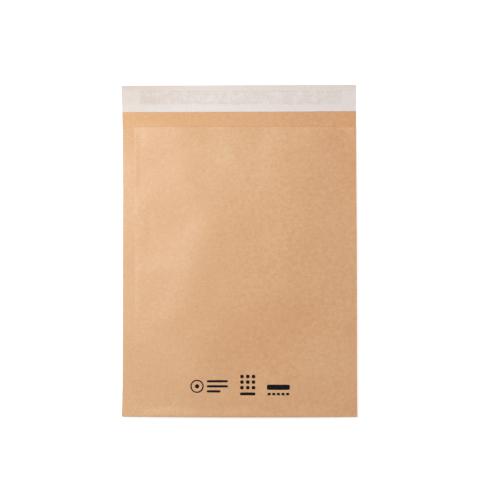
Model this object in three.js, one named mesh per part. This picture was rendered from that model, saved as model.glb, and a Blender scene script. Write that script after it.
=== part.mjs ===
// A padded paper mailer, empty, lying face up with its flap open.
// One kraft web is folded at the bottom and glued along both sides. A paper cushion and an inner
// ply line it, and the flap carries an adhesive band under a full-width release liner.
// Millimetres. X runs across the mouth, Y from the folded bottom to the flap, Z up from the table.
import * as THREE from "three";

// Kraft web
const width = 240;
const panelLength = 298;
const flapLength = 43.5;
const wrapPaper = 0.25;
const flapLean = 0.8; // how far the flap's free edge sits to the left of the panels
const footFlare = 0.8; // how far each side spreads at the folded bottom

// Side seams: both panels pressed flat round a line of glue
const seamWidth = 12;
const seamGlue = 0.2;
const seamGlueInset = 1.5;

// Padding bows the back as it does the front, so the seams and the fold hang above the table.
const rimLift = 2.6;
const settleRun = 90; // the seams start down to the table this far below the mouth

// Cushion and inner ply
const cushionThickness = 1.1;
const cushionEdge = 0.12; // thickness of the cushion's pressed border
const cushionAtFold = 0.9;
const cushionSideTaper = 90;
const cushionMouthTaper = 60;
const cushionFoldTaper = 24;
const cushionMouthMargin = 5;
const tuck = 1.6; // run of the inner ply as it comes down off the cushion's edge
const innerPaper = 0.15;
const innerMouthMargin = 2;

// Pocket
const pocketRise = 5.8; // free height in the middle of the pocket
const pocketShoulder = 70; // distance over which the panels part beside a seam
const foldShare = 0.16; // share of the free height that is left at the bottom fold
const foldRise = 46; // distance over which the panels part above the fold
const mouthDrop = 0.06; // share of the free height lost at the mouth
const mouthDropRun = 60;
const foldRun = 3; // the fold's curve starts this far from the bottom edge

// Closure
const adhesiveThickness = 0.2;
const adhesiveWidth = 13.4;
const adhesiveTopMargin = 5.8; // from the flap's free edge
const adhesiveLeftMargin = 17.5;
const adhesiveRightMargin = 14.5;
const adhesiveEndRadius = 2;
const linerThickness = 0.12;
const linerWidth = 27.5;

// Broad undulations pressed into the front panel: centre line from (x, y) to (x, y), half width,
// height. They are measured from the middle of the front panel.
const swells = [
  { from: [-82, -10], to: [-33, -65], spread: 35, height: 1.3 },
  { from: [-34, 37], to: [-69, -43], spread: 23, height: 1.3 },
  { from: [64, 101], to: [65, 31], spread: 35, height: 1.3 },
  { from: [90, 143], to: [89, -2], spread: 22, height: 1.3 },
  { from: [96, -47], to: [-2, -114], spread: 32, height: -1.3 },
  { from: [22, 147], to: [19, 133], spread: 20, height: -1.2 },
  { from: [-119, 59], to: [-85, 79], spread: 17, height: 0.7 },
  { from: [30, 8], to: [24, 32], spread: 16, height: -0.8 },
];

// Grid counts
const foldSteps = 6;
const frontSpans = 10;
const backSpans = 4;

const halfWidth = width / 2;
const seamInner = halfWidth - seamWidth;
const cushionHalf = seamInner - tuck;
const totalLength = panelLength + flapLength;
const bottomY = -totalLength / 2;
const mouthY = bottomY + panelLength;
const flapY = mouthY + flapLength;
const panelMiddleY = (bottomY + mouthY) / 2;
const linerBottomY = flapY - linerWidth;
const foldLineY = bottomY + foldRun;

const clamp01 = (t) => Math.min(Math.max(t, 0), 1);
const smooth = (t) => THREE.MathUtils.smoothstep(t, 0, 1);
const quarterSine = (t) => Math.sin((clamp01(t) * Math.PI) / 2);

// 0 on a seam, 1 where the panels have fully parted across the width.
function sideShare(x) {
  return quarterSine((seamInner - Math.abs(x)) / pocketShoulder);
}

// 0 at the fold, 1 where the panels have fully parted along the length.
function footShare(y) {
  return quarterSine((y - foldLineY) / foldRise);
}

// The share of the free height at a place along the panel.
function lengthShare(y) {
  const atFold = foldShare + (1 - foldShare) * footShare(y);
  const atMouth = 1 - mouthDrop * smooth((y - (mouthY - mouthDropRun)) / mouthDropRun);
  return atFold * atMouth;
}

// Height of the front panel's undulations: a rounded bank along each swell's line.
function swellHeight(x, y) {
  const point = new THREE.Vector3(x, y - panelMiddleY, 0);
  const near = new THREE.Vector3();
  return swells.reduce((sum, { from, to, spread, height }) => {
    const line = new THREE.Line3(new THREE.Vector3(...from, 0), new THREE.Vector3(...to, 0));
    line.closestPointToPoint(point, true, near);
    return sum + height * Math.exp(-((near.distanceTo(point) / spread) ** 2));
  }, 0);
}

// Cushion thickness at a place that lies toMouth inside its mouth end: full in the middle, thinner
// towards its pressed border, and nothing past the tuck.
function cushionDepth(x, y, toMouth) {
  const toSide = cushionHalf - Math.abs(x);
  const opened = smooth((y - foldLineY) / cushionFoldTaper);
  const full = cushionAtFold + (cushionThickness - cushionAtFold) * opened;
  const padding = smooth(toSide / cushionSideTaper) * smooth(toMouth / cushionMouthTaper);
  const tucked = clamp01(1 + toSide / tuck) * clamp01(1 + toMouth / tuck);
  return (cushionEdge + (full - cushionEdge) * padding) * tucked;
}

// Depths of the ply boundaries below the outside of the wrap: its outside, its inside, the
// cushion's inside and the inner ply's face.
function plyDepths(x, y) {
  const cushion = cushionDepth(x, y, mouthY - cushionMouthMargin - y);
  return [0, wrapPaper, wrapPaper + cushion, wrapPaper + cushion + innerPaper];
}

// Outside of the back panel and flap: flat on the table in the middle, lifted along the seams and
// the fold, and flat again where the flap carries the liner.
function backHeight(x, y) {
  const settleStart = mouthY - settleRun;
  const settled = smooth((y - settleStart) / (linerBottomY - settleStart));
  return rimLift * (1 - sideShare(x) * footShare(y)) * (1 - settled);
}

// Outside of the front panel. The pocket's ceiling keeps its height past the end of the cushion,
// so the mouth stands open while the wall thins towards its edge.
function frontHeight(x, y) {
  const floor = backHeight(x, y) + wrapPaper + cushionDepth(x, y, Infinity) + innerPaper;
  const parting = sideShare(x) * lengthShare(y) * (pocketRise + swellHeight(x, y));
  return floor + seamGlue + parting + plyDepths(x, y)[3];
}

// A grid point's true place across the width, with the flare of the foot and the flap's lean.
function across(x, y) {
  const flare = (footFlare / halfWidth) * smooth((panelMiddleY - y) / (panelLength / 2));
  return x * (1 + flare) - flapLean * Math.max(0, (y - mouthY) / flapLength);
}

const evenly = (from, to, spans) =>
  Array.from({ length: spans }, (_, i) => THREE.MathUtils.lerp(from, to, i / spans));

// Grid lines across the width, from the left edge to the right one.
const shoulderEndX = seamInner - pocketShoulder;
const halfLines = [
  halfWidth,
  seamInner,
  ...evenly(cushionHalf, shoulderEndX, 6),
  ...evenly(shoulderEndX, 0, 3),
];
const acrossLines = [...halfLines.map((x) => -x), 0, ...halfLines.toReversed()];
const cushionLines = acrossLines.filter((x) => Math.abs(x) <= cushionHalf);
const seamLines = [seamInner + seamGlueInset, halfWidth - seamGlueInset];

// Grid lines along a panel, from the mouth down to the fold. Each web starts at its own edge.
const cushionEndY = mouthY - cushionMouthMargin;
const taperEndY = cushionEndY - cushionMouthTaper;
function panelLines(spans) {
  return [
    mouthY,
    mouthY - innerMouthMargin,
    cushionEndY + tuck,
    cushionEndY,
    ...evenly(cushionEndY, taperEndY, 3).slice(1),
    ...evenly(taperEndY, foldLineY + foldRise, spans),
    ...evenly(foldLineY + foldRise, foldLineY, 4),
    foldLineY,
  ];
}
const frontLines = panelLines(frontSpans);
const backLines = panelLines(backSpans);
const flapLines = [flapY, linerBottomY, (linerBottomY + mouthY) / 2];

// One ply boundary along a line across the width: down the back from startY, round the fold and
// up the front to the mouth.
function webLine(x, boundary, startY, withFlap) {
  const onBack = (y) => [y, backHeight(x, y) + plyDepths(x, y)[boundary]];
  const onFront = (y) => [y, frontHeight(x, y) - plyDepths(x, y)[boundary]];
  const depth = plyDepths(x, foldLineY)[boundary];
  const middle = (frontHeight(x, foldLineY) + backHeight(x, foldLineY)) / 2;
  const halfHeight = frontHeight(x, foldLineY) - middle;
  const round = Array.from({ length: foldSteps - 1 }, (_, i) => {
    const turn = Math.PI * ((i + 1) / foldSteps - 0.5);
    const y = foldLineY - (foldRun - depth) * Math.cos(turn);
    return [y, middle + (halfHeight - depth) * Math.sin(turn)];
  });
  const lines = [
    ...(withFlap ? flapLines.map(onBack) : []),
    ...backLines.filter((y) => y <= startY).map(onBack),
    ...round,
    ...frontLines.filter((y) => y <= startY).map(onFront).toReversed(),
  ];
  return lines.map(([y, z]) => new THREE.Vector3(across(x, y), y, z));
}

// A closed solid between two grids of points of the same size. Neighbouring plies share a grid,
// so every skin is split along the same diagonal and the plies meet without overlap.
function solidBetween(outside, inside) {
  const rows = outside.length;
  const columns = outside[0].length;
  const at = (row, column) => row * columns + column;
  const far = rows * columns;
  const index = [];
  const quad = (a, b, c, d) => index.push(a, c, b, a, d, c);
  for (let r = 0; r + 1 < rows; r++) {
    for (let c = 0; c + 1 < columns; c++) {
      const corners = [at(r, c), at(r, c + 1), at(r + 1, c + 1), at(r + 1, c)];
      quad(...corners);
      const [p, q, s, t] = corners.map((k) => k + far);
      index.push(p, q, s, p, s, t);
    }
  }
  const rim = (a, b) => quad(b, a, a + far, b + far);
  for (let c = 0; c + 1 < columns; c++) {
    rim(at(0, c), at(0, c + 1));
    rim(at(rows - 1, c + 1), at(rows - 1, c));
  }
  for (let r = 0; r + 1 < rows; r++) {
    rim(at(r + 1, 0), at(r, 0));
    rim(at(r, columns - 1), at(r + 1, columns - 1));
  }
  const points = [...outside.flat(), ...inside.flat()];
  const geometry = new THREE.BufferGeometry().setFromPoints(points);
  geometry.setIndex(index);
  geometry.computeVertexNormals();
  return geometry;
}

function web(xs, outer, inner, startY, withFlap = false) {
  const skin = (boundary) => xs.map((x) => webLine(x, boundary, startY, withFlap));
  return solidBetween(skin(outer), skin(inner));
}

// The line of glue that holds the two inner plies together along one side.
function seamGlueGeometry(side) {
  const xs = side < 0 ? seamLines.map((x) => -x).toReversed() : seamLines;
  const ys = frontLines.filter((y) => y <= mouthY - innerMouthMargin);
  const skin = (lift) =>
    xs.map((x) =>
      ys.map((y) => {
        const bed = backHeight(x, y) + plyDepths(x, y)[3];
        return new THREE.Vector3(across(x, y), y, bed + lift);
      }),
    );
  return solidBetween(skin(0), skin(seamGlue));
}

// The flap's edge on one side, at a height along the flap.
const flapSide = (side, y) => across(side * halfWidth, y);

function adhesiveGeometry() {
  const topY = flapY - adhesiveTopMargin;
  const lowY = topY - adhesiveWidth;
  const left = flapSide(-1, lowY) + adhesiveLeftMargin;
  const right = flapSide(1, lowY) - adhesiveRightMargin;
  const r = adhesiveEndRadius;
  const shape = new THREE.Shape();
  shape.moveTo(left + r, lowY);
  shape.lineTo(right - r, lowY);
  shape.absarc(right - r, lowY + r, r, -Math.PI / 2, 0);
  shape.absarc(right - r, topY - r, r, 0, Math.PI / 2);
  shape.absarc(left + r, topY - r, r, Math.PI / 2, Math.PI);
  shape.absarc(left + r, lowY + r, r, Math.PI, Math.PI * 1.5);
  return new THREE.ExtrudeGeometry(shape, {
    depth: adhesiveThickness,
    bevelEnabled: false,
    curveSegments: 4,
  });
}

function linerGeometry() {
  const shape = new THREE.Shape([
    new THREE.Vector2(flapSide(-1, linerBottomY), linerBottomY),
    new THREE.Vector2(flapSide(1, linerBottomY), linerBottomY),
    new THREE.Vector2(flapSide(1, flapY), flapY),
    new THREE.Vector2(flapSide(-1, flapY), flapY),
  ]);
  return new THREE.ExtrudeGeometry(shape, { depth: linerThickness, bevelEnabled: false });
}

const paper = (color) => new THREE.MeshStandardMaterial({ color, roughness: 0.9, metalness: 0 });
const kraft = paper(0xdfb48c);
const innerKraft = paper(0xd9ad80);
const cushionKraft = paper(0xcf9f70);
const releasePaper = new THREE.MeshStandardMaterial({
  color: 0xe4dcd6,
  roughness: 0.55,
  metalness: 0,
});
const driedGlue = new THREE.MeshStandardMaterial({ color: 0xe8dfc8, roughness: 0.5, metalness: 0 });
const tackyGlue = new THREE.MeshStandardMaterial({ color: 0xd8c9b8, roughness: 0.3, metalness: 0 });

const mailer = new THREE.Group();
mailer.name = "padded_mailer";

function add(name, geometry, material, z = 0) {
  const mesh = new THREE.Mesh(geometry, material);
  mesh.name = name;
  mesh.position.z = z;
  mailer.add(mesh);
}

add("outer_wrap", web(acrossLines, 0, 1, mouthY, true), kraft);
add("cushion", web(cushionLines, 1, 2, cushionEndY), cushionKraft);
add("inner_ply", web(acrossLines, 2, 3, mouthY - innerMouthMargin), innerKraft);
add("seam_glue_left", seamGlueGeometry(-1), driedGlue);
add("seam_glue_right", seamGlueGeometry(1), driedGlue);
add("closure_adhesive", adhesiveGeometry(), tackyGlue, wrapPaper);
add("release_liner", linerGeometry(), releasePaper, wrapPaper + adhesiveThickness);

export default mailer;
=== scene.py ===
import bpy
import numpy as np
from bpy.props import FloatProperty, FloatVectorProperty, IntProperty, PointerProperty
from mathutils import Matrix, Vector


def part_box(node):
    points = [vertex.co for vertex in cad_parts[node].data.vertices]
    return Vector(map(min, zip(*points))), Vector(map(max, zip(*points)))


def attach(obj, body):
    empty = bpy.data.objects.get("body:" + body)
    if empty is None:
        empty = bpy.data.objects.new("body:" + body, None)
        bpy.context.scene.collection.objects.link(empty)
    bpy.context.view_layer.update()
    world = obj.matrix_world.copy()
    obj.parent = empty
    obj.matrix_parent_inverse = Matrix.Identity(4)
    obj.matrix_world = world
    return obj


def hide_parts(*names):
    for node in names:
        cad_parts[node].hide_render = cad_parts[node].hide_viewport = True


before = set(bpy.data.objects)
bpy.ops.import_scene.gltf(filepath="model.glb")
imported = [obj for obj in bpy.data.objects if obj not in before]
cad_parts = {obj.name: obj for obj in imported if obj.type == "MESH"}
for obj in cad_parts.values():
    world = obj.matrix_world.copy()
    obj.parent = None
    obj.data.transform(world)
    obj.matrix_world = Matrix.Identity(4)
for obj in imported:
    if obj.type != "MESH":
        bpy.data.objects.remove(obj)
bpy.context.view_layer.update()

bl_info = {
    "name": "Padded Paper Mailer",
    "version": (1, 0, 0),
    "blender": (4, 5, 0),
    "location": "3D View > Sidebar > Mailer",
    "description": "Web, cushion, inner ply, closure and print of an open padded paper mailer",
    "category": "Add Mesh",
}

MM = 0.001

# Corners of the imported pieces, which the defaults below come from.
WRAP_LOW, WRAP_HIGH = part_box("outer_wrap")
CUSHION_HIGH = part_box("cushion")[1]
PLY_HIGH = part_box("inner_ply")[1]
BAND_LOW, BAND_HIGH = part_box("closure_adhesive")
LINER_LOW, LINER_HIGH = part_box("release_liner")
FOOT_FLARE = 0.8 * MM
PLY_MOUTH_MARGIN = 2 * MM
MOUTH_Y = PLY_HIGH.y + PLY_MOUTH_MARGIN
FOLD_STEPS = 12
FLOOR_DROP = 0.05 * MM

# How far the left and right edges stand outside two straight lines, in mm, at places along the
# mailer that are counted from the middle of the front panel. They were measured in the photo.
EDGE_PLACES = (-149, -140, -116, -40, 20, 85, 149, 192.5)
LEFT_EDGE = (1.35, 0.85, 0.3, 0.05, 0, -0.15, 0.5, 1.85)
RIGHT_EDGE = (1, 0.9, 0.7, 0.55, 0.4, 0, -0.1, -0.2)

# Creases, as lines from (x, y) to (x, y), with their half width and height, all in mm from the
# middle of the front panel. The first list is in the solids too, and fades where the panels meet.
# All of it and 19 rows of the second are rounded results of a program's fit to the photo's tones.
SWELLS = [
    ((-82, -10), (-33, -65), 35, 1.3),
    ((-34, 37), (-69, -43), 23, 1.3),
    ((64, 101), (65, 31), 35, 1.3),
    ((90, 143), (89, -2), 22, 1.3),
    ((96, -47), (-2, -114), 32, -1.3),
    ((22, 147), (19, 133), 20, -1.2),
    ((-119, 59), (-85, 79), 17, 0.7),
    ((30, 8), (24, 32), 16, -0.8),
]
CREASES = [
    ((-37, 34), (-87, 0), 17, 0.45),
    ((-90, 118), (-24, 114), 24, -0.4),
    ((-74, 126), (-8, 69), 24, -0.35),
    ((-41, -69), (-51, -105), 20, 0.45),
    ((48, 117), (86, -17), 16, 0.3),
    ((50, 41), (92, 135), 15, 0.35),
    ((77, -21), (98, 44), 19, 0.4),
    ((-8, 3), (-16, -36), 9, 0.25),
    ((-93, 63), (-92, 33), 3.5, -0.14),
    ((-96, 67), (-61, 68), 4, -0.08),
    ((98, 141), (100, 125), 4.5, -0.3),
    ((75, 26), (119, 26), 3, -0.14),
    ((23, 146), (17, 89), 8, -0.15),
    ((-112, -63), (-72, -62), 5, -0.12),
    ((-118, -107), (-90, -107), 3, -0.08),
    ((-76, -128), (-29, -35), 24, -0.5),
    ((2, 43), (83, 141), 24, 0.5),
    ((-83, 77), (-69, -67), 24, -0.5),
    ((20, -37), (88, 137), 24, 0.5),
    ((117, -26), (5, -86), 24, -0.15),
    ((-89, 117), (-49, 30), 21, -0.45),
    ((-29, 147), (-57, 24), 20, -0.45),
    ((-101, 145), (-110, -77), 18, 0.2),
    ((-65, 68), (97, 28), 14, 0.3),
    ((0, -36), (0, -140), 14, -0.3),
    ((-109, -1), (-75, 4), 10, 0.25),
    ((-30, 149), (62, 149), 10, -0.75),
    ((-80, 149), (-62, 149), 10, 0.35),
    ((-104, 150), (-104, 140), 8, -0.22),
]

# The lights: place in metres, size and colour.
LIGHTS = {
    "key": ((-0.6, 0.27, 0.8), 0.5, (0.848, 0.975, 1.0)),
    "fill": ((1.2, 0.2, 1.1), 1.2, (1.0, 0.769, 0.694)),
}

# Soft patches of tone, set to bring the front's tones to the photo's: their middle and reach in mm of
# the frame, and how much darker they are.
# Each patch is painted shade, or painted light where its number is below 0.
PATCHES = [
    ((20, -90), (85, 46), 0.16),
    ((-90, 112), (36, 28), 0.15),
    ((114, 80), (12, 26), 0.2),
    ((-84, 84), (40, 22), 0.03),
    ((36, 118), (44, 14), -0.1),
    ((115, -92), (9, 30), 0.12),
    ((-104, -74), (18, 20), -0.1),
    ((102, 110), (14, 18), 0.14),
    ((88, -108), (50, 24), -0.17),
    ((-95, -162), (70, 22), -0.14),
    ((-30, 112), (38, 24), -0.15),
    ((-4, 88), (36, 30), -0.13),
]


def length(name, description, default):
    """A length in metres."""
    return FloatProperty(
        name=name, description=description, default=default, unit="LENGTH", precision=5)


def fraction(name, description, default):
    """A number from 0 to 1."""
    return FloatProperty(name=name, description=description, default=default, min=0, max=1)


def colour(name, description, default):
    """An opaque colour."""
    return FloatVectorProperty(
        name=name, description=description, default=(*default, 1),
        subtype="COLOR", size=4, min=0, max=1)


class MailerSizes(bpy.types.PropertyGroup):
    """Sizes of the paper and the padding."""

    half_width: length(
        "Half width", "From the middle to a side edge of the panels", WRAP_HIGH.x - FOOT_FLARE)
    seam_inner: length("Seam inner edge", "From the middle to the inner edge of a side seam", 108 * MM)
    wrap_paper: length("Wrap paper", "Thickness of the outer kraft web", BAND_LOW.z - WRAP_LOW.z)
    inner_paper: length("Inner paper", "Thickness of the inner ply", 0.15 * MM)
    cushion: length("Cushion", "Thickness of the cushion in the middle of a panel", 1.1 * MM)
    cushion_edge: length("Cushion border", "Thickness of the cushion's pressed border", 0.03 * MM)
    cushion_at_fold: length("Cushion at the fold", "Its thickness round the fold", 0.9 * MM)
    tuck: length("Tuck", "Run of the inner ply as it comes down off the cushion's edge", 1.6 * MM)
    side_taper: length("Side taper", "Width over which the cushion thins towards a seam", 90 * MM)
    mouth_taper: length("Mouth taper", "Length over which the cushion thins towards the mouth", 60 * MM)
    fold_taper: length("Fold taper", "Length over which the cushion thins towards the fold", 24 * MM)
    seam_glue: length("Seam glue", "Thickness of the glue between the panels at a seam", 0.2 * MM)


class MailerShape(bpy.types.PropertyGroup):
    """How the empty mailer lies and bows."""

    rim_lift: length("Rim lift", "Height of the seams and the fold above the table", 2.6 * MM)
    settle_run: length("Settle run", "How far below the mouth the seams start down", 90 * MM)
    rise: length("Pocket rise", "Free height in the middle of the pocket", 5.8 * MM)
    shoulder: length("Shoulder", "Width over which the panels part beside a seam", 70 * MM)
    fold_share: fraction("Share at the fold", "Share of the free height left at the fold", 0.16)
    fold_rise: length("Fold rise", "Length over which the panels part above the fold", 46 * MM)
    mouth_drop: fraction("Mouth drop", "Share of the free height lost at the mouth", 0.06)
    mouth_drop_run: length("Mouth drop run", "Length over which the mouth drops", 60 * MM)
    fold_run: length("Fold run", "How far from the bottom edge the fold's curve starts", 3 * MM)
    flap_turn: length("Flap turn", "How far the flap's lines stand up at its right end", 0.45 * MM)
    foot_turn: length("Foot turn", "How far the foot's left corner stands up", 0.36 * MM)


class MailerRelief(bpy.types.PropertyGroup):
    """Small unevenness of the paper that handling and the padding leave."""

    seed: IntProperty(name="Seed", description="Start of the random draws", default=11)
    pucker: length("Seam pucker", "Height of the small puckers along the seams", 0.03 * MM)
    pucker_run: length("Pucker run", "How far the puckers reach into the panel", 9 * MM)
    edge_wave: length("Edge wave", "Rise and fall of the seams' free edges", 0.15 * MM)
    droop: length("Seam droop", "How far the seams' free edges hang below the seams", 0.8 * MM)
    roll: length("Fold roll", "Height of the roll that the padding makes at the fold", 1.0 * MM)
    roll_run: length("Roll run", "How far the fold's roll reaches up the panel", 7 * MM)
    seam_fade: length("Seam fade", "Width beside a seam over which the creases fade", 6 * MM)
    fold_fade: length("Fold fade", "Length above the fold over which the creases fade", 8 * MM)
    lip_run: length("Lip run", "How far the lip's waves reach down from the mouth", 24 * MM)
    lip_wave: length("Lip wave", "Rise and fall of the front panel's edge at the mouth", 0.18 * MM)
    buckle: length("Buckle", "Height of the soft buckles all over the front panel", 0.1 * MM)
    emboss: length("Cushion emboss", "Depth of the cells pressed into the cushion", 0.22 * MM)
    cell: length("Cushion cell", "Width of one cell of the cushion", 7 * MM)


class MailerColours(bpy.types.PropertyGroup):
    """Colours of the papers, the glue and the ink."""

    kraft: colour("Kraft", "Outside of the kraft web", (0.767, 0.462, 0.249))
    kraft_fibre: colour("Kraft fibre", "Darker fibres of the kraft web", (0.67, 0.313, 0.132))
    kraft_inside: colour("Kraft inside", "Inside face of the web, on the flap", (0.80, 0.44, 0.208))
    cushion: colour("Cushion", "Expanded paper of the cushion", (0.6, 0.35, 0.18))
    inner: colour("Inner ply", "Thin kraft of the inner ply", (0.66, 0.4, 0.215))
    liner: colour("Liner", "Release paper beside the glue", (0.877, 0.79, 0.76))
    liner_band: colour("Liner over glue", "Release paper over the glue", (0.708, 0.562, 0.495))
    glue: colour("Closure glue", "Hot-melt band on the flap", (0.64, 0.52, 0.4))
    seam_glue: colour("Seam glue", "Dried glue in the side seams", (0.8, 0.74, 0.58))
    ink: colour("Ink", "Printed marks", (0.006, 0.006, 0.008))


class MailerStage(bpy.types.PropertyGroup):
    """Camera, lights and floor."""

    camera_height: length("Camera height", "Camera above the table", 1.6)
    view_width: length("View width", "Width of the square view at the panel's height", 0.49255)
    aim_x: length("Aim across", "Where the camera looks, across the mailer", 0.3 * MM)
    aim_y: length("Aim along", "Where the camera looks, along the mailer", 11.3 * MM)
    key_power: FloatProperty(
        name="Key", description="Power of the soft light at the upper left, in watts",
        default=7.9)
    fill_power: FloatProperty(
        name="Fill", description="Power of the large soft light at the right, in watts",
        default=6.05)
    sky: FloatProperty(
        name="Sky", description="Strength of the even light from all round", default=0.3)
    floor_half: length("Floor", "From the middle of the floor to its sides", 0.6)
    floor_grey: fraction("Floor grey", "Share of the light that the floor gives back", 0.62)
    floor_glow: fraction("Floor glow", "What the floor shows to the camera besides", 0.68)


def smooth(t):
    """3t^2 - 2t^3 of t held from 0 to 1."""
    t = np.clip(t, 0, 1)
    return t * t * (3 - 2 * t)


def quarter_sine(t):
    """sin(90 degrees times t) of t held from 0 to 1."""
    return np.sin(np.clip(t, 0, 1) * np.pi / 2)


def banks(lines, x, y):
    """Sum over the lines of height * exp(-(distance to the line / half width)^2)."""
    total = np.zeros(np.broadcast(x, y).shape)
    for (x0, y0), (x1, y1), spread, height in lines:
        ax, ay, dx, dy = x0 * MM, y0 * MM, (x1 - x0) * MM, (y1 - y0) * MM
        t = np.clip(((x - ax) * dx + (y - ay) * dy) / (dx * dx + dy * dy), 0, 1)
        distance = np.hypot(x - ax - t * dx, y - ay - t * dy)
        total = total + height * MM * np.exp(-((distance / (spread * MM)) ** 2))
    return total


def ripple(rng, t, shortest, longest, count):
    """Mean of sines of t with random lengths between two lengths and random starts, about -1 to 1."""
    lengths = rng.uniform(shortest, longest, count)
    starts = rng.uniform(0, 2 * np.pi, count)
    turns = 2 * np.pi * np.asarray(t)[..., None] / lengths + starts
    return np.sin(turns).sum(-1) / np.sqrt(count)


def swirl(rng, x, y, shortest, longest, count):
    """Mean of plane waves over x and y with random directions, lengths and starts, about -1 to 1."""
    angles = rng.uniform(0, np.pi, count)
    lengths = rng.uniform(shortest, longest, count)
    starts = rng.uniform(0, 2 * np.pi, count)
    total = np.zeros(np.broadcast(x, y).shape)
    for angle, wave, start in zip(angles, lengths, starts):
        along = x * np.cos(angle) + y * np.sin(angle)
        total = total + np.sin(2 * np.pi * along / wave + start)
    return total / np.sqrt(count)


class Form:
    """The mailer's shape, as heights over the table at points (x, y) of a straight-sided mailer.

    Ply boundaries are numbered from the outside in: 0 the wrap's outside, 1 its inside, 2 the
    cushion's inside and 3 the inner ply's face.
    """

    def __init__(self, scene):
        self.sizes = scene.mailer_sizes
        self.shape = scene.mailer_shape
        self.relief = scene.mailer_relief
        self.bottom_y = WRAP_LOW.y
        self.flap_y = WRAP_HIGH.y
        self.mouth_y = MOUTH_Y
        self.cushion_mouth_y = CUSHION_HIGH.y
        self.liner_y = LINER_LOW.y
        self.middle_y = (self.bottom_y + self.mouth_y) / 2
        self.fold_y = self.bottom_y + self.shape.fold_run
        self.cushion_half = self.sizes.seam_inner - self.sizes.tuck

    def columns(self, spacing):
        """Lines across a panel, with extra ones where a seam and the cushion start."""
        half, starts = self.sizes.half_width, (self.sizes.seam_inner, self.cushion_half)
        return lines_between(-half, half, spacing, *(s * e for s in (-1, 1) for e in starts))

    def side_share(self, x):
        """0 on a seam, 1 where the panels have fully parted across the width."""
        return quarter_sine((self.sizes.seam_inner - np.abs(x)) / self.shape.shoulder)

    def foot_share(self, y):
        """0 at the fold, 1 where the panels have fully parted along the length."""
        return quarter_sine((y - self.fold_y) / self.shape.fold_rise)

    def length_share(self, y):
        """Share of the free height at a place along the panel."""
        s = self.shape
        at_fold = s.fold_share + (1 - s.fold_share) * self.foot_share(y)
        run = s.mouth_drop_run
        return at_fold * (1 - s.mouth_drop * smooth((y - (self.mouth_y - run)) / run))

    def cushion_depth(self, x, y, to_mouth):
        """Cushion thickness: its border, plus the rest times a smooth rise from the sides and the
        mouth, times the tucks that end it."""
        s = self.sizes
        to_side = self.cushion_half - np.abs(x)
        opened = smooth((y - self.fold_y) / s.fold_taper)
        full = s.cushion_at_fold + (s.cushion - s.cushion_at_fold) * opened
        padding = smooth(to_side / s.side_taper) * smooth(to_mouth / s.mouth_taper)
        tucked = np.clip(1 + to_side / s.tuck, 0, 1) * np.clip(1 + to_mouth / s.tuck, 0, 1)
        return (s.cushion_edge + (full - s.cushion_edge) * padding) * tucked

    def depth(self, x, y, boundary):
        """Depth of a ply boundary below the outside of the wrap."""
        s = self.sizes
        cushion = self.cushion_depth(x, y, self.cushion_mouth_y - y)
        wrap = s.wrap_paper * (boundary > 0)
        return wrap + cushion * (boundary > 1) + s.inner_paper * (boundary > 2)

    def back(self, x, y):
        """Outside of the back and flap: rim lift times (1 - side share * foot share), settling
        to nothing where the flap carries the liner."""
        start = self.mouth_y - self.shape.settle_run
        settled = smooth((y - start) / (self.liner_y - start))
        parted = self.side_share(x) * self.foot_share(y)
        return self.shape.rim_lift * (1 - parted) * (1 - settled)

    def front(self, x, y):
        """Outside of the front: the floor, the glue, the parting of the panels and the wall."""
        s = self.sizes
        floor = self.back(x, y) + s.wrap_paper + self.cushion_depth(x, y, 1.0) + s.inner_paper
        rise = self.shape.rise + banks(SWELLS, x, y - self.middle_y)
        parting = self.side_share(x) * self.length_share(y) * rise
        return floor + s.seam_glue + parting + self.depth(x, y, 3) + self.handling(x, y)

    def handling(self, x, y):
        """Heights of the creases, the soft buckles, the puckers beside the seams, the lip's waves
        and the fold's roll."""
        r = self.relief
        rng = np.random.default_rng(r.seed)
        inside = self.sizes.seam_inner - np.abs(x)
        clear = smooth(inside / r.seam_fade) * smooth((y - self.fold_y) / r.fold_fade)
        crease = banks(CREASES, x, y - self.middle_y) * clear
        buckle = r.buckle * swirl(rng, x, y, 22 * MM, 60 * MM, 14)
        side = np.where(x < 0, 0.0, 0.5)
        gathers = ripple(rng, y + side, 7 * MM, 17 * MM, 6)
        near_seam = np.exp(-((inside - 3 * MM) / r.pucker_run) ** 2) * (inside > 0)
        pucker = r.pucker * gathers * near_seam * smooth(inside / (2 * MM))
        to_lip = smooth((y - self.mouth_y + r.lip_run) / r.lip_run)
        lip = ripple(rng, x, 28 * MM, 90 * MM, 5) * to_lip * smooth(inside / (35 * MM))
        pucker = pucker * (1 - to_lip)
        roll = np.exp(-(((y - self.bottom_y) / r.roll_run) ** 2)) * smooth(inside / (20 * MM))
        return crease + (buckle + r.lip_wave * lip) * clear + pucker + r.roll * roll

    def across(self, x, y):
        """Place across the width: x drawn out in proportion to where its side's edge stands."""
        place = (y - self.middle_y) / MM
        left = np.interp(place, EDGE_PLACES, LEFT_EDGE)
        right = np.interp(place, EDGE_PLACES, RIGHT_EDGE)
        return x * (1 + np.where(x < 0, left, right) * MM / self.sizes.half_width)

    def along(self, x, y):
        """Place along the mailer, with the slight turns of the flap and of the foot's left side."""
        share = x / self.sizes.half_width
        flap = np.clip((y - self.mouth_y) / (12 * MM), 0, 1)
        foot = np.clip(1 - (y - self.bottom_y) / (60 * MM), 0, 1)
        turns = self.shape.flap_turn * flap * share
        return y + turns - self.shape.foot_turn * foot * np.minimum(share, 0)

    def edge(self, x, y):
        """Fall and waves of the seams towards their free edges, the same for every ply. They fade
        as the seams come down to the table."""
        rng = np.random.default_rng(self.relief.seed + 1)
        side = np.where(x < 0, 0.0, 0.7)
        wave = ripple(rng, y + side, 45 * MM, 120 * MM, 4)
        seam = self.sizes.half_width - self.sizes.seam_inner
        reach = np.clip((np.abs(x) - self.sizes.seam_inner) / seam, 0, 1)
        lifted = np.minimum(1, self.back(x, y) / (1.2 * MM))
        return (self.relief.edge_wave * wave - self.relief.droop) * reach * lifted

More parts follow.
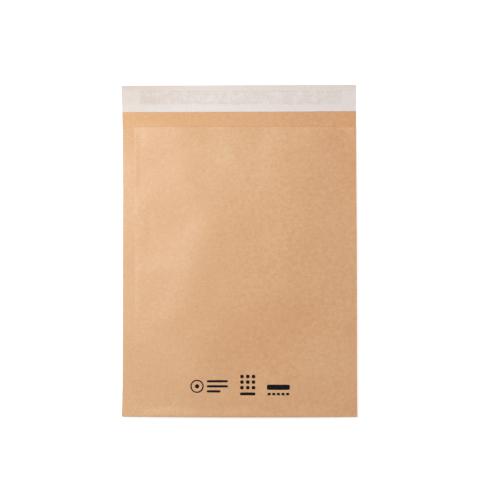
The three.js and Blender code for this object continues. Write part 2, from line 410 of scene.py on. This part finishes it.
    def strip(self, x, ys, boundary, on_front, inset):
        """Points of one panel's ply boundary over a column of x and a row of y."""
        x, y = np.broadcast_arrays(x[:, None], ys[None, :])
        depth = self.depth(x, y, boundary) + inset
        z = self.front(x, y) - depth if on_front else self.back(x, y) + depth
        return x, y, z + self.edge(x, y)

    def fold(self, x, boundary, inset):
        """The bottom fold, from the back panel's line round to the front panel's: an ellipse with
        the square roots of its cosine and sine, which presses it flat above and below."""
        turn = np.pi * (np.arange(1, FOLD_STEPS)[None, :] / FOLD_STEPS - 0.5)
        x = x[:, None] + 0 * turn
        y = np.full_like(x, self.fold_y)
        low, high = self.back(x, y), self.front(x, y)
        depth = self.depth(x, y, boundary) + inset
        middle, half = (low + high) / 2, (high - low) / 2
        around = self.fold_y - (self.shape.fold_run - depth) * np.sqrt(np.cos(turn))
        up = np.sign(turn) * np.sqrt(np.abs(np.sin(turn)))
        return x, around, middle + (half - depth) * up + self.edge(x, y)

    def web(self, x, back_ys, front_ys, boundary, inset=0.0):
        """A ply boundary as a grid: down the back, round the fold and up the front."""
        parts = [
            self.strip(x, back_ys, boundary, False, inset),
            self.fold(x, boundary, inset),
            self.strip(x, front_ys[::-1], boundary, True, inset),
        ]
        x, y, z = (np.concatenate([part[i] for part in parts], axis=1) for i in range(3))
        return np.stack([self.across(x, y), self.along(x, y), z], -1)


def lines_between(start, end, spacing, *extra):
    """Evenly spaced numbers from start to end about a spacing apart, with some extra ones put in."""
    count = max(2, round(abs(end - start) / spacing) + 1)
    numbers = np.unique(np.round(np.concatenate([np.linspace(start, end, count), extra]), 7))
    return numbers if end > start else numbers[::-1]


def closed_between(outside, inside, ring=False):
    """Points and faces of the solid between two grids of the same size, rims included. On a ring
    the last row of points meets the first one again."""
    rows, columns = outside.shape[:2]
    far = rows * columns
    index = np.arange(far).reshape(rows, columns)
    if ring:
        index = np.concatenate([index, index[:1]])
        starts = np.concatenate([index[:-1, -1], index[1:, 0]])
        ends = np.concatenate([index[1:, -1], index[:-1, 0]])
    else:
        starts = np.concatenate([index[0, :-1], index[:-1, -1], index[-1, :0:-1], index[:0:-1, 0]])
        ends = np.roll(starts, -1)
    rim = np.stack([starts, ends, ends + far, starts + far], -1)
    corners = [index[:-1, :-1], index[1:, :-1], index[1:, 1:], index[:-1, 1:]]
    skin = np.stack(corners, -1).reshape(-1, 4)
    faces = np.concatenate([skin, skin[:, ::-1] + far, rim])
    return np.concatenate([outside.reshape(-1, 3), inside.reshape(-1, 3)]), faces


def new_piece(name, points, faces, material):
    """A mesh object in the frame, with smooth faces that meet in crisp rims."""
    mesh = bpy.data.meshes.new(name)
    mesh.from_pydata(points.tolist(), [], faces.tolist())
    mesh.polygons.foreach_set("use_smooth", np.ones(len(faces), bool))
    mesh.set_sharp_from_angle(angle=np.radians(50))
    mesh.materials.append(material)
    mesh.update()
    piece = bpy.data.objects.new(name, mesh)
    bpy.context.scene.collection.objects.link(piece)
    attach(piece, "root")
    return piece


def store(piece, name, values):
    """A number for each point, which the piece's material reads."""
    attribute = piece.data.attributes.new(name, "FLOAT", "POINT")
    attribute.data.foreach_set("value", np.asarray(values, np.float32).ravel())


def times(colour, share):
    """A colour's red, green and blue times a share."""
    return (*(share * c for c in colour[:3]), 1)


class Wire:
    """An output socket of a material's nodes. Python's operators on it add Math nodes."""

    def __init__(self, tree, socket):
        self.tree = tree
        self.socket = socket

    def node(self, kind, settings=None, inputs=None, output=0):
        """Adds a node of a type, sets its settings, then its sockets, and returns an output."""
        made = self.tree.nodes.new(kind)
        for name, value in (settings or {}).items():
            setattr(made, name, value)
        for name, value in (inputs or {}).items():
            if isinstance(value, Wire):
                self.tree.links.new(value.socket, made.inputs[name])
            else:
                made.inputs[name].default_value = value
        return Wire(self.tree, made.outputs[output])

    def math(self, operation, *values, clamp=False):
        settings = {"operation": operation, "use_clamp": clamp}
        return self.node("ShaderNodeMath", settings, dict(enumerate(values)))

    def __add__(self, other):
        return self.math("ADD", self, other)

    def __sub__(self, other):
        return self.math("SUBTRACT", self, other)

    def __rsub__(self, other):
        return self.math("SUBTRACT", other, self)

    def __mul__(self, other):
        return self.math("MULTIPLY", self, other)

    def __truediv__(self, other):
        return self.math("DIVIDE", self, other)

    __radd__ = __add__
    __rmul__ = __mul__

    def step(self, start, end):
        """0 where this is start, 1 where it is end, smooth between."""
        settings = {"interpolation_type": "SMOOTHSTEP"}
        inputs = {"Value": self, "From Min": start, "From Max": end}
        return self.node("ShaderNodeMapRange", settings, inputs)

    def mixed(self, first, second):
        """A colour between first, where this is 0, and second, where it is 1."""
        inputs = {0: self, 6: first, 7: second}
        return self.node("ShaderNodeMix", {"data_type": "RGBA"}, inputs, 2)


class Paper:
    """A new material with a Principled shader, and the wires that its pattern starts from."""

    def __init__(self, name, roughness, specular=0.35):
        self.material = bpy.data.materials.new(name)
        self.material.use_nodes = True
        tree = self.material.node_tree
        self.shader = tree.nodes["Principled BSDF"]
        self.shader.inputs["Roughness"].default_value = roughness
        self.shader.inputs["Specular IOR Level"].default_value = specular
        self.start = Wire(tree, None)
        self.place = self.start.node("ShaderNodeTexCoord", output="Object")
        self.x = self.part(self.place, 0)
        self.y = self.part(self.place, 1)

    def part(self, vector, number):
        """One number out of a vector."""
        return self.start.node("ShaderNodeSeparateXYZ", None, {0: vector}, number)

    def scaled(self, x, y, z, turn=0.0):
        """The object's coordinates turned about Z, then times x, y and z."""
        inputs = {"Vector": self.place, "Rotation": (0, 0, turn)}
        turned = self.start.node("ShaderNodeMapping", None, inputs)
        settings = {"operation": "MULTIPLY"}
        return self.start.node("ShaderNodeVectorMath", settings, {0: turned, 1: (x, y, z)})

    def noise(self, vector, scale=1.0, detail=2.0, roughness=0.5):
        """Noise from 0 to 1 that averages a half."""
        inputs = {"Vector": vector, "Scale": scale, "Detail": detail, "Roughness": roughness}
        return self.start.node("ShaderNodeTexNoise", None, inputs)

    def attribute(self, name):
        """A stored number."""
        settings = {"attribute_name": name}
        return self.start.node("ShaderNodeAttribute", settings, None, "Fac")

    def bump(self, height, distance, strength=1.0, normal=None):
        """A normal tilted by a height from 0 to 1 over a distance in metres."""
        inputs = {"Height": height, "Distance": distance, "Strength": strength}
        if normal is not None:
            inputs["Normal"] = normal
        return self.start.node("ShaderNodeBump", None, inputs)

    def finish(self, **inputs):
        """Links wires to the shader's sockets and returns the material."""
        for name, wire in inputs.items():
            socket = self.shader.inputs[name.replace("_", " ").title()]
            self.start.tree.links.new(wire.socket, socket)
        return self.material

    def spot(self, centre, reach):
        """1 in the middle of a soft oval, 0 outside it."""
        across = (self.x - centre[0] * MM) / (reach[0] * MM)
        along = (self.y - centre[1] * MM) / (reach[1] * MM)
        return (across * across + along * along).step(1.4, 0)

    def fibres(self, across=1500, along=380):
        """Streaks of paper fibre that run along the web, from 0 to 1."""
        fine = self.noise(self.scaled(across, along, across), detail=4, roughness=0.62)
        slant = self.noise(self.scaled(across * 0.7, along, across, 0.5), detail=3)
        return fine * 0.6 + slant * 0.4

    def specks(self):
        """Sparse dark slivers, 1 on a sliver and 0 elsewhere."""
        first = self.noise(self.scaled(2300, 520, 2300, 0.9), detail=1)
        second = self.noise(self.scaled(2100, 480, 2100, -0.7), detail=1)
        return first.step(0.7, 0.78) + second.step(0.71, 0.79)


def kraft_material(colours):
    """Uncoated kraft: fibre streaks, slivers, soft clouds, soft patches of painted shade and painted
    light, and a fine orange peel over the cushion that shows more to the right. Painted light lightens
    the front just below the mouth, the web along the fold and the flap beside the mouth, and painted
    shade darkens the inside face towards the right. The web's inside face is a warmer tone."""
    paper = Paper("kraft_wrap", 0.5, 0.75)
    fibres = paper.fibres()
    clouds = paper.noise(paper.place, 24, detail=3)
    cells = paper.noise(paper.place, 210, detail=2, roughness=0.45)
    inside = paper.attribute("inside_face")
    padded = paper.attribute("padded")
    grain = paper.noise(paper.place, 620, detail=2, roughness=0.7)
    tone = (fibres - 0.5) * 0.8 + (grain - 0.5) * 1.5 + (clouds - 0.5) * 0.3
    tone = tone + (cells - 0.5) * (paper.x.step(-0.05, 0.05) * 0.35 + 0.5)
    # The patches above: painted shade, and painted light where a patch is lighter.
    painted_light_and_shade = sum(paper.spot(middle, reach) * dark for middle, reach, dark in PATCHES)
    # Painted light: lighter within 4 mm of the bottom edge, where the fold's curve turns away from the
    # light.
    foot = paper.y.step(WRAP_LOW.y + 4 * MM, WRAP_LOW.y + 1 * MM) * 0.12
    # Painted light: the front is lighter just below the mouth, from 30 mm left of the middle
    # rightwards, against the shade along the lip's edge.
    lip = paper.y.step(MOUTH_Y - 3.2 * MM, MOUTH_Y - 1 * MM) * paper.x.step(-0.05, -0.03) * 0.12
    # Painted light on the flap within 9 mm of the mouth, where the front's lip shades it, and painted
    # shade that darkens the inside face towards the right.
    painted_light_by_mouth = paper.y.step(MOUTH_Y + 9 * MM, MOUTH_Y)
    painted_light_by_mouth = painted_light_by_mouth * paper.x.step(-0.12, -0.085) * paper.x.step(0.112, 0.08)
    flap = paper.x.step(0.02, 0.12) * 0.3 - painted_light_by_mouth * 0.4
    shaded = (1 - inside) * (painted_light_and_shade - lip) - foot + inside * flap
    tone = tone.math("ADD", tone + shaded, paper.specks() * 0.3 + 0.48, clamp=True)
    outside = tone.mixed(tuple(colours.kraft), tuple(colours.kraft_fibre))
    within = tone.mixed(tuple(colours.kraft_inside), tuple(colours.kraft_fibre))
    colour = inside.mixed(outside, within)
    peel = cells * (padded * (paper.x.step(-0.05, 0.03) * 0.75 + 0.25))
    normal = paper.bump(peel, 0.32 * MM)
    normal = paper.bump(fibres, 0.035 * MM, 0.8, normal)
    rough = (fibres - 0.5) * 0.15 + 0.45 + inside * 0.15
    return paper.finish(base_color=colour, roughness=rough, normal=normal)


def inner_material(colours):
    """Thin kraft: finer fibre and slight clouds."""
    paper = Paper("inner_kraft", 0.7)
    fibres = paper.fibres(1800, 500)
    clouds = paper.noise(paper.place, 40, detail=3)
    tone = (fibres - 0.5) * 0.8 + (clouds - 0.5) * 0.4 + 0.3
    colour = tone.mixed(tuple(colours.inner), times(colours.inner, 0.8))
    normal = paper.bump(fibres, 0.03 * MM)
    return paper.finish(base_color=colour, normal=normal)


def cushion_material(colours):
    """Expanded paper: rough, with darker pressed lines between the cells."""
    paper = Paper("cushion_paper", 0.85, 0.2)
    fibres = paper.fibres(1200, 600)
    pressed = paper.attribute("pressed")
    tone = pressed * 0.6 + (fibres - 0.5) * 0.5 + 0.15
    colour = tone.mixed(tuple(colours.cushion), times(colours.cushion, 0.68))
    normal = paper.bump(fibres, 0.05 * MM)
    return paper.finish(base_color=colour, normal=normal)


def liner_material(colours):
    """Translucent release paper. The glue band shows through as a warmer, patchy strip with small
    blisters, between a clear upper margin and a lighter lower one. Painted shade darkens its left end."""
    paper = Paper("release_paper", 0.5, 0.4)
    wander = paper.noise(paper.place, 70, detail=4, roughness=0.6) - 0.5
    fine = paper.noise(paper.place, 560, detail=3, roughness=0.75) - 0.5
    patches = paper.noise(paper.scaled(150, 190, 150), detail=4, roughness=0.65) - 0.5
    low = paper.y + wander * (3.5 * MM)
    high = paper.y + patches * (1.5 * MM)
    up = low.step(BAND_LOW.y - 1.4 * MM, BAND_LOW.y + 1.3 * MM)
    down = high.step(BAND_HIGH.y + 0.5 * MM, BAND_HIGH.y - 0.3 * MM)
    from_left = (paper.x + wander * (8 * MM)).step(BAND_LOW.x - 4 * MM, BAND_LOW.x + 3 * MM)
    to_right = (paper.x + patches * (4 * MM)).step(BAND_HIGH.x + 1.2 * MM, BAND_HIGH.x - 1.6 * MM)
    ends = from_left * to_right
    inputs = {"Vector": paper.scaled(100, 75, 100), "Scale": 1.0, "Randomness": 0.75}
    blister = paper.start.node("ShaderNodeTexVoronoi", None, inputs, "Distance").step(0.5, 0.1)
    rim = up * low.step(BAND_LOW.y + 3 * MM, BAND_LOW.y + 1.2 * MM)
    line = down * high.step(BAND_HIGH.y - 1.4 * MM, BAND_HIGH.y - 0.7 * MM)
    band = up * down * ends
    mottled = 0.24 + patches * 0.95 + fine * 0.5 - blister * 0.22
    strength = band * mottled + (rim + line) * ends * 0.12
    upper = paper.y.step(BAND_LOW.y - 2 * MM, BAND_LOW.y + 3 * MM)
    top = paper.y.step(BAND_HIGH.y - 2 * MM, BAND_HIGH.y + 2 * MM) * 0.2
    # Painted shade: the liner is darker towards its left end, more so from the band upwards, against
    # the brighter light on that side.
    left_painted_shade = paper.x.step(-0.03, -0.115) * (upper * 0.17 + 0.32)
    grain = fine * 0.85 + wander * 0.25 + 0.17
    shade = strength.math("ADD", strength + top + left_painted_shade, grain, clamp=True)
    colour = shade.mixed(tuple(colours.liner), tuple(colours.liner_band))
    lift = (fine + 0.5) * 0.25 + strength * 0.5
    normal = paper.bump(lift, 0.06 * MM)
    return paper.finish(base_color=colour, normal=normal)


def glue_material(name, colour, roughness):
    """Hot-melt or dried glue: cloudy, with a dimpled surface."""
    paper = Paper(name, roughness, 0.5)
    clouds = paper.noise(paper.place, 260, detail=3)
    normal = paper.bump(clouds, 0.1 * MM)
    cloudy = clouds.mixed(tuple(colour), times(colour, 0.82))
    return paper.finish(base_color=cloudy, normal=normal)


def ink_material(colours):
    """Flexo ink: near black, a little broken where the fibres stand up."""
    paper = Paper("print_ink", 0.7, 0.08)
    fibres = paper.fibres()
    worn = fibres.step(0.58, 0.72) * 0.15
    normal = paper.bump(fibres, 0.03 * MM)
    broken = worn.mixed(tuple(colours.ink), times(colours.kraft, 0.35))
    return paper.finish(base_color=broken, normal=normal)


class MAILER_OT_outer_wrap(bpy.types.Operator):
    """Make the kraft web: flap, back panel, bottom fold and front panel as one sheet."""

    bl_idname = "mailer.outer_wrap"
    bl_label = "Outer Wrap"

    def execute(self, context):
        scene = context.scene
        form = Form(scene)
        x = form.columns(1.65 * MM)
        back = np.concatenate([
            lines_between(form.flap_y, form.mouth_y, 2.6 * MM, form.liner_y)[:-1],
            lines_between(form.mouth_y, form.fold_y, 5 * MM)])
        front = lines_between(form.mouth_y, form.fold_y, 1.65 * MM, form.cushion_mouth_y)
        skins = [form.web(x, back, front, boundary) for boundary in (0, 1)]
        points, faces = closed_between(*skins)
        material = kraft_material(scene.mailer_colours)
        piece = new_piece("kraft_web", points, faces, material)
        inside = np.repeat([0.0, 1.0], len(points) // 2)
        padded = smooth((form.cushion_half - np.abs(points[:, 0])) / (10 * MM))
        padded *= smooth((form.cushion_mouth_y + 2 * MM - points[:, 1]) / (12 * MM))
        padded *= smooth((points[:, 1] - form.bottom_y) / (10 * MM))
        store(piece, "inside_face", inside)
        store(piece, "padded", padded)
        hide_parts("outer_wrap")
        return {"FINISHED"}


class MAILER_OT_cushion(bpy.types.Operator):
    """Make the padding: a folded slab of expanded paper with pressed cells and borders."""

    bl_idname = "mailer.cushion"
    bl_label = "Cushion"

    def execute(self, context):
        scene = context.scene
        form, relief = Form(scene), scene.mailer_relief
        x = lines_between(-form.cushion_half, form.cushion_half, 2.4 * MM)
        ys = lines_between(form.cushion_mouth_y, form.fold_y, 2.4 * MM)
        clear = 0.01 * MM
        outside = form.web(x, ys, ys, 1, clear)
        inside = form.web(x, ys, ys, 2, -clear)
        wall = np.linalg.norm(inside - outside, axis=-1, keepdims=True)
        ground = x[:, None] + 0 * outside[..., 1]
        pressed = self.cells(ground, outside[..., 1], relief.cell)
        depth = np.minimum(relief.emboss, wall[..., 0] * 0.3) * pressed
        inward = (inside - outside) / wall
        outside = outside + inward * depth[..., None]
        inside = inside - inward * depth[..., None]
        points, faces = closed_between(outside, inside)
        piece = new_piece("cushion_pad", points, faces, cushion_material(scene.mailer_colours))
        store(piece, "pressed", np.tile(pressed.ravel(), 2))
        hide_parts("cushion")
        return {"FINISHED"}

    @staticmethod
    def cells(x, y, cell):
        """1 on the pressed lines of a six-sided lattice, 0 in the middle of its cells: three
        cosines 60 degrees apart, added up and scaled."""
        turns = [2 * np.pi * (x * np.cos(a) + y * np.sin(a)) / cell for a in np.radians([0, 60, 120])]
        lattice = sum(np.cos(turn) for turn in turns) / 3
        return smooth((0.35 - lattice) / 0.7)


class MAILER_OT_inner_ply(bpy.types.Operator):
    """Make the thin inner ply that lines the cushion."""

    bl_idname = "mailer.inner_ply"
    bl_label = "Inner Ply"

    def execute(self, context):
        scene = context.scene
        form, sizes = Form(scene), scene.mailer_sizes
        x = form.columns(3 * MM)
        tucked = (form.cushion_mouth_y, form.cushion_mouth_y + sizes.tuck)
        ys = lines_between(form.mouth_y - PLY_MOUTH_MARGIN, form.fold_y, 3 * MM, *tucked)
        points, faces = closed_between(*(form.web(x, ys, ys, boundary) for boundary in (2, 3)))
        piece = new_piece("inner_lining", points, faces, inner_material(scene.mailer_colours))
        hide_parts("inner_ply")
        return {"FINISHED"}


class MAILER_OT_closure(bpy.types.Operator):
    """Make the flap's hot-melt band and the release liner over it."""

    bl_idname = "mailer.closure"
    bl_label = "Closure"

    def execute(self, context):
        scene = context.scene
        form = Form(scene)
        self.band(scene, form)
        self.liner(scene, form)
        return {"FINISHED"}

    @staticmethod
    def band(scene, form):
        """A strip with a wandering outline and a dimpled top: u along it, v across it."""
        rng = np.random.default_rng(scene.mailer_relief.seed + 2)
        u = np.linspace(0, 1, 240)[:, None]
        v = np.linspace(0, 1, 15)[None, :]
        x = BAND_LOW.x + (BAND_HIGH.x - BAND_LOW.x) * u + 0 * v
        end = 2.2 * MM
        from_end = np.minimum(x - BAND_LOW.x, BAND_HIGH.x - x)
        rounding = end - np.sqrt(np.clip(end**2 - np.clip(end - from_end, 0, end) ** 2, 0, None))
        low = BAND_LOW.y + rounding + 0.35 * MM * (1 + ripple(rng, x, 9 * MM, 30 * MM, 6)).clip(0)
        high = BAND_HIGH.y - rounding - 0.1 * MM * (1 + ripple(rng, x, 14 * MM, 50 * MM, 4)).clip(0)
        y = low + (high - low) * v
        inset = np.minimum(v, 1 - v) * (high - low)
        crown = smooth(inset / (0.8 * MM)) * smooth(from_end / (0.8 * MM) + 0.1)
        dimple = 0.5 + 0.5 * swirl(rng, x, y, 3 * MM, 9 * MM, 10).clip(-1, 1)
        thickness = (BAND_HIGH.z - BAND_LOW.z) * (0.3 + crown * (0.45 + 0.25 * dimple))
        place = form.along(x, y)
        top = np.stack([x, place, BAND_LOW.z + thickness], -1)
        bottom = np.stack([x, place, np.full_like(x, BAND_LOW.z)], -1)
        points, faces = closed_between(top, bottom)
        material = glue_material("closure_glue", scene.mailer_colours.glue, 0.35)
        piece = new_piece("closure_band", points, faces, material)
        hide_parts("closure_adhesive")

    @staticmethod
    def liner(scene, form):
        """A thin sheet over the band: x across the flap, y from its lower edge to its free edge.
        It bridges the band, sags beside it and stands up a little along its lower edge."""
        rng = np.random.default_rng(scene.mailer_relief.seed + 3)
        half = form.sizes.half_width
        base = lines_between(-half, half, 1.8 * MM)[:, None]
        y = lines_between(form.liner_y, form.flap_y, 0.9 * MM, form.liner_y + 0.45 * MM)[None, :]
        base, y = np.broadcast_arrays(base, y)
        x = form.across(base, y)
        across = np.minimum(y - BAND_LOW.y, BAND_HIGH.y - y) + 2 * MM
        inward = np.minimum(x - BAND_LOW.x, BAND_HIGH.x - x) + 3 * MM
        over = smooth(across / (2.5 * MM)) * smooth(inward / (4 * MM))
        curl = smooth((form.liner_y + 5 * MM - y) / (5 * MM))
        waves = 0.5 + 0.25 * ripple(rng, x, 12 * MM, 60 * MM, 6)
        blisters = np.clip(swirl(rng, x, y, 6 * MM, 14 * MM, 12), 0, 1.4)
        room = BAND_HIGH.z - BAND_LOW.z
        low = BAND_LOW.z + 0.02 * MM + room * np.maximum(over, curl * waves * 1.4)
        lifted = smooth((form.liner_y + 1.4 * MM - y) / (1.4 * MM)) * MM
        lifted = lifted * (0.12 + 0.3 * smooth(x / (120 * MM)))
        low = low + 0.05 * MM * blisters * over + lifted
        paper = LINER_HIGH.z - LINER_LOW.z
        place = form.along(base, y)
        top = np.stack([x, place, low + paper], -1)
        bottom = np.stack([x, place, low], -1)
        points, faces = closed_between(top, bottom)
        piece = new_piece("liner_sheet", points, faces, liner_material(scene.mailer_colours))
        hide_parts("release_liner")


class MAILER_OT_seam_glue(bpy.types.Operator):
    """Make the two glue lines in the side seams."""

    bl_idname = "mailer.seam_glue"
    bl_label = "Seam Glue"

    def execute(self, context):
        scene = context.scene
        form, sizes = Form(scene), scene.mailer_sizes
        material = glue_material("seam_glue", scene.mailer_colours.seam_glue, 0.5)
        for side, name in ((-1, "seam_glue_left"), (1, "seam_glue_right")):
            skins = [self.skin(form, side, lift * sizes.seam_glue) for lift in (0.97, 0.03)]
            points, faces = closed_between(*skins)
            piece = new_piece(f"{name}_line", points, faces, material)
            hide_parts(name)
        return {"FINISHED"}

    @staticmethod
    def skin(form, side, lift):
        """A strip down the seam with squeezed, wandering edges: y runs down it and u across it,
        from the inner ply of the back up by a lift."""
        rng = np.random.default_rng(form.relief.seed + 4 + side)
        y = lines_between(form.mouth_y - PLY_MOUTH_MARGIN, form.fold_y, 2.5 * MM)[:, None]
        u = np.linspace(0, 1, 7)[None, ::side]
        glued = form.sizes.half_width - form.sizes.seam_inner
        near = form.sizes.seam_inner + glued * (0.16 + 0.04 * ripple(rng, y, 14 * MM, 50 * MM, 5))
        far = form.sizes.half_width - glued * (0.16 + 0.04 * ripple(rng, y, 14 * MM, 50 * MM, 5))
        x = side * (near + (far - near) * u)
        y = y + 0 * u
        z = form.back(x, y) + form.depth(x, y, 3) + form.edge(x, y) + lift
        return np.stack([form.across(x, y), form.along(x, y), z], -1)


class MAILER_OT_print_marks(bpy.types.Operator):
    """Make the plain printed marks near the bottom of the front panel."""

    bl_idname = "mailer.print_marks"
    bl_label = "Print Marks"

    def execute(self, context):
        scene = context.scene
        form = Form(scene)
        marks = self.ring_group() + self.dot_group() + self.bar_group()
        points, faces, start = [], [], 0
        for centre_x, centre_y, half_x, half_y, hollow, corner in marks:
            outline = self.patch(centre_x, centre_y, half_x, half_y, hollow, corner)
            x, y = outline[..., 0] * MM, outline[..., 1] * MM
            z = form.front(x, y) + form.edge(x, y)
            place = form.across(x, y), form.along(x, y)
            skins = [np.stack([*place, z + lift], -1) for lift in (0.05 * MM, 0.02 * MM)]
            made, quads = closed_between(*skins, ring=True)
            points.append(made)
            faces.append(quads + start)
            start += len(made)
        material = ink_material(scene.mailer_colours)
        new_piece("print_marks", np.concatenate(points), np.concatenate(faces), material)
        return {"FINISHED"}

    @staticmethod
    def patch(centre_x, centre_y, half_x, half_y, hollow, corner):
        """A filled or hollow rounded shape: at angle a and share r of its size, from hollow to 1,
        the point is r * half size * sign(cos a) * |cos a|^(2/corner), and sin a likewise."""
        a = np.linspace(0, -2 * np.pi, 48, endpoint=False)[:, None]
        r = np.linspace(max(hollow, 0.001), 1, 9)[None, :]
        across, along = (np.sign(t) * np.abs(t) ** (2 / corner) for t in (np.cos(a), np.sin(a)))
        return np.stack([centre_x + half_x * r * across, centre_y + half_y * r * along], -1)

    @staticmethod
    def ring_group():
        """A ring with a dot, beside three bars of falling length."""
        ring = [(-43.6, -138.6, 6.8, 6.8, 0.8, 2), (-43.6, -138.6, 2.2, 2.2, 0, 2)]
        lengths = [21.5, 21.5, 14]
        bars = [(-33.6 + n / 2, -133.4 - 5.2 * i, n / 2, 1.2, 0, 6) for i, n in enumerate(lengths)]
        return ring + bars

    @staticmethod
    def dot_group():
        """A three by three field of dots over a bar."""
        places = [(8.2 + 5.9 * i, -128.6 - 5.7 * j) for i in (-1, 0, 1) for j in (0, 1, 2)]
        dots = [(x, y, 1.8, 1.8, 0, 3) for x, y in places]
        return dots + [(8.2, -146.4, 7.8, 1.5, 0, 8)]

    @staticmethod
    def bar_group():
        """A thick bar over five short dashes."""
        bar = [(39.4, -139.6, 11.7, 2.7, 0, 8)]
        dashes = [(30 + 4.7 * i, -146.6, 1.6, 1.3, 0, 5) for i in range(5)]
        return bar + dashes


class MAILER_OT_stage(bpy.types.Operator):
    """Make the white floor, the two soft lights, the sky and the camera."""

    bl_idname = "mailer.stage"
    bl_label = "Stage"

    def execute(self, context):
        scene = context.scene
        stage = scene.mailer_stage
        self.floor(scene, stage)
        self.sky(scene, stage.sky)
        for name, power in (("key", stage.key_power), ("fill", stage.fill_power)):
            self.light(scene, name, power, *LIGHTS[name])
        self.camera(scene, stage)
        scene.view_settings.view_transform = "Standard"
        return {"FINISHED"}

    @staticmethod
    def seen_directly(wire):
        """1 on rays from the camera, off a mirror or through glass, 0 on all others."""
        path = wire.node("ShaderNodeLightPath").socket.node.outputs
        rays = (path[f"Is {kind} Ray"] for kind in ("Camera", "Glossy", "Transmission"))
        camera, glossy, glass = (Wire(wire.tree, ray) for ray in rays)
        return camera.math("ADD", camera + glossy, glass, clamp=True)

    def floor(self, scene, stage):
        """A flat square that shows white to the camera and keeps the mailer's shadow."""
        ring = ((-1, -1), (1, -1), (1, 1), (-1, 1))
        corners = [(x * stage.floor_half, y * stage.floor_half, -FLOOR_DROP) for x, y in ring]
        mesh = bpy.data.meshes.new("floor")
        mesh.from_pydata(corners, [], [(0, 1, 2, 3)])
        material = bpy.data.materials.new("floor_white")
        material.use_nodes = True
        shader = material.node_tree.nodes["Principled BSDF"]
        shader.inputs["Base Color"].default_value = (*[stage.floor_grey] * 3, 1)
        shader.inputs["Roughness"].default_value = 0.9
        shader.inputs["Specular IOR Level"].default_value = 0
        shader.inputs["Emission Strength"].default_value = 1
        seen = self.seen_directly(Wire(material.node_tree, None))
        glow = seen.mixed((0, 0, 0, 1), (*[stage.floor_glow] * 3, 1))
        material.node_tree.links.new(glow.socket, shader.inputs["Emission Color"])
        mesh.materials.append(material)
        floor = bpy.data.objects.new("floor", mesh)
        scene.collection.objects.link(floor)

    def sky(self, scene, strength):
        """Even light of one strength, white where it is seen directly."""
        world = bpy.data.worlds.new("sky")
        world.use_nodes = True
        scene.world = world
        background = world.node_tree.nodes["Background"]
        seen = self.seen_directly(Wire(world.node_tree, None))
        grey = (strength, strength, strength, 1)
        colour = seen.mixed(grey, (1, 1, 1, 1))
        world.node_tree.links.new(colour.socket, background.inputs["Color"])

    @staticmethod
    def light(scene, name, power, place, size, tint):
        """A square soft light that points at the mailer."""
        lamp = bpy.data.lights.new(name, "AREA")
        lamp.size = size
        lamp.energy = power
        lamp.color = tint
        light = bpy.data.objects.new(name, lamp)
        light.location = place
        light.rotation_euler = (-light.location).to_track_quat("-Z", "Y").to_euler()
        scene.collection.objects.link(light)

    @staticmethod
    def camera(scene, stage):
        """A camera straight above the mailer, with +Y up in the picture."""
        camera = bpy.data.cameras.new("camera")
        distance = stage.camera_height - WRAP_HIGH.z / 2
        camera.lens = camera.sensor_width * distance / stage.view_width
        holder = bpy.data.objects.new("camera", camera)
        holder.location = (stage.aim_x, stage.aim_y, stage.camera_height)
        scene.collection.objects.link(holder)
        scene.camera = holder


PIECES = (
    MAILER_OT_outer_wrap,
    MAILER_OT_cushion,
    MAILER_OT_inner_ply,
    MAILER_OT_closure,
    MAILER_OT_seam_glue,
    MAILER_OT_print_marks,
    MAILER_OT_stage,
)
SETTINGS = {
    "mailer_sizes": MailerSizes,
    "mailer_shape": MailerShape,
    "mailer_relief": MailerRelief,
    "mailer_colours": MailerColours,
    "mailer_stage": MailerStage,
}


class MAILER_PT_sidebar(bpy.types.Panel):
    """The mailer's sizes, colours and pieces."""

    bl_idname = "MAILER_PT_sidebar"
    bl_label = "Padded Mailer"
    bl_space_type = "VIEW_3D"
    bl_region_type = "UI"
    bl_category = "Mailer"

    def draw(self, context):
        for name in SETTINGS:
            group = getattr(context.scene, name)
            box = self.layout.box()
            box.label(text=name.replace("_", " ").capitalize())
            for key in type(group).__annotations__:
                box.prop(group, key)
        for piece in PIECES:
            self.layout.operator(piece.bl_idname)


def register():
    for name, group in SETTINGS.items():
        bpy.utils.register_class(group)
        setattr(bpy.types.Scene, name, PointerProperty(type=group))
    for piece in (*PIECES, MAILER_PT_sidebar):
        bpy.utils.register_class(piece)


def unregister():
    for piece in (MAILER_PT_sidebar, *reversed(PIECES)):
        bpy.utils.unregister_class(piece)
    for name, group in SETTINGS.items():
        delattr(bpy.types.Scene, name)
        bpy.utils.unregister_class(group)


def main():
    register()
    bpy.ops.mailer.outer_wrap()
    bpy.ops.mailer.cushion()
    bpy.ops.mailer.inner_ply()
    bpy.ops.mailer.closure()
    bpy.ops.mailer.seam_glue()
    bpy.ops.mailer.print_marks()
    bpy.ops.mailer.stage()


if __name__ == "__main__":
    main()
